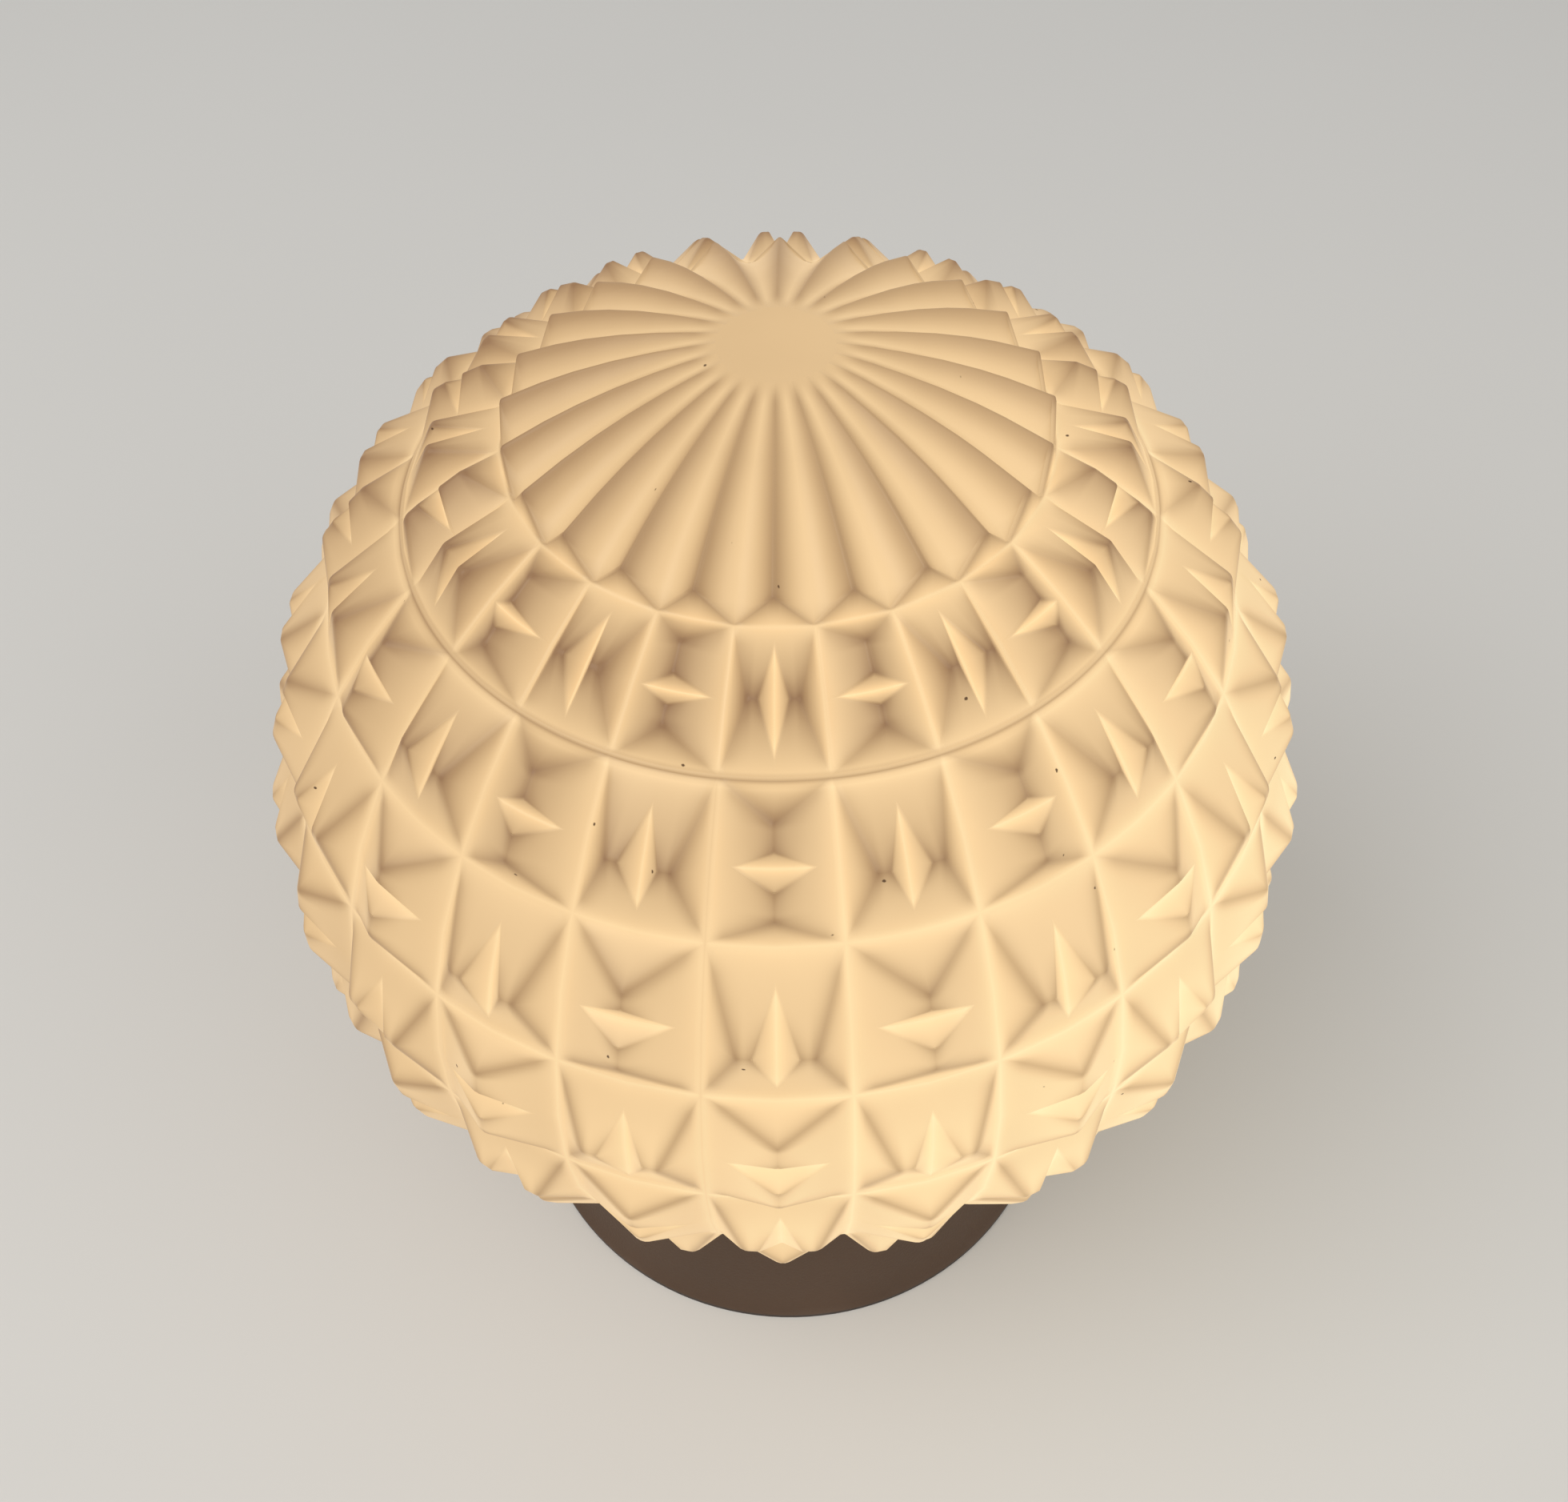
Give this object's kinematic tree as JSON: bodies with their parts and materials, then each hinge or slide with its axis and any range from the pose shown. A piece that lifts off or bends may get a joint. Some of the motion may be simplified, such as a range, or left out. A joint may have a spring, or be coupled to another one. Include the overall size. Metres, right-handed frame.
{
  "type": "ceiling light",
  "caption": "Globe ceiling light: faceted pressed-glass ball with a fluted cap that screws into a dark moulded cone base, over a screw-cap bulb in a porcelain lampholder.",
  "frame": {"origin": "centre of the base's ceiling face", "axes": "+Z from the ceiling face through the globe, so the light stands on its base as pictured; the cable inlet lies towards +Y and the ceiling screws lie along X"},
  "size_m": [0.1798, 0.1798, 0.2115],
  "materials": {
    "base_plastic": "satin moulded",
    "black_rubber": "matt",
    "porcelain": "glazed",
    "zinc_steel": "zinc plated",
    "terminal_brass": "bare",
    "spring_bronze": "bare",
    "nickel_brass": "nickel plated",
    "pressed_glass": "fire polished, lit from inside",
    "solder": "dull",
    "black_glass": "glossy",
    "cap_metal": "plain",
    "bulb_glass": "frosted",
    "stem_glass": "clear",
    "lead_metal": "drawn",
    "tungsten": "drawn"
  },
  "bodies": {
    "base": {"base_shell": "base_plastic", "cable_grommet": "black_rubber", "lampholder_body": "porcelain", "holder_screws": "zinc_steel", "live_terminal": "terminal_brass", "neutral_terminal": "terminal_brass", "terminal_screws": "zinc_steel", "live_strap": "terminal_brass", "neutral_strap": "terminal_brass", "contact_rivet": "terminal_brass", "centre_contact": "spring_bronze", "lampholder_shell": "nickel_brass", "shell_screws": "zinc_steel"},
    "gasket": {"neck_gasket": "black_rubber"},
    "glass": {"glass_globe": "pressed_glass"},
    "bulb_contact": {"bulb_tip": "solder"},
    "bulb": {"bulb_insulator": "black_glass", "bulb_cap": "cap_metal", "bulb_envelope": "bulb_glass", "bulb_stem": "stem_glass", "lead_wires": "lead_metal", "filament_supports": "lead_metal", "filament": "tungsten"}
  },
  "joints": [
    {"name": "glass_travel", "type": "slide", "parent": "base", "child": "gasket", "axis": [0, 0, 1], "range_m": [0, 0.009]},
    {"name": "glass_turn", "type": "hinge", "parent": "gasket", "child": "glass", "pos_m": [0, 0, 0.05], "axis": [0, 0, 1], "range_deg": [0, 540]},
    {"name": "bulb_travel", "type": "slide", "parent": "base", "child": "bulb_contact", "axis": [0, 0, 1], "range_m": [0, 0.01452]},
    {"name": "bulb_turn", "type": "hinge", "parent": "bulb_contact", "child": "bulb", "pos_m": [0, 0, 0.024], "axis": [0, 0, 1], "range_deg": [0, 1440]}
  ],
  "couplings": [
    {"joint": "glass_travel", "follows": "glass_turn", "m_per_rad": 0.00095492},
    {"joint": "bulb_travel", "follows": "bulb_turn", "m_per_rad": 0.00057757}
  ]
}
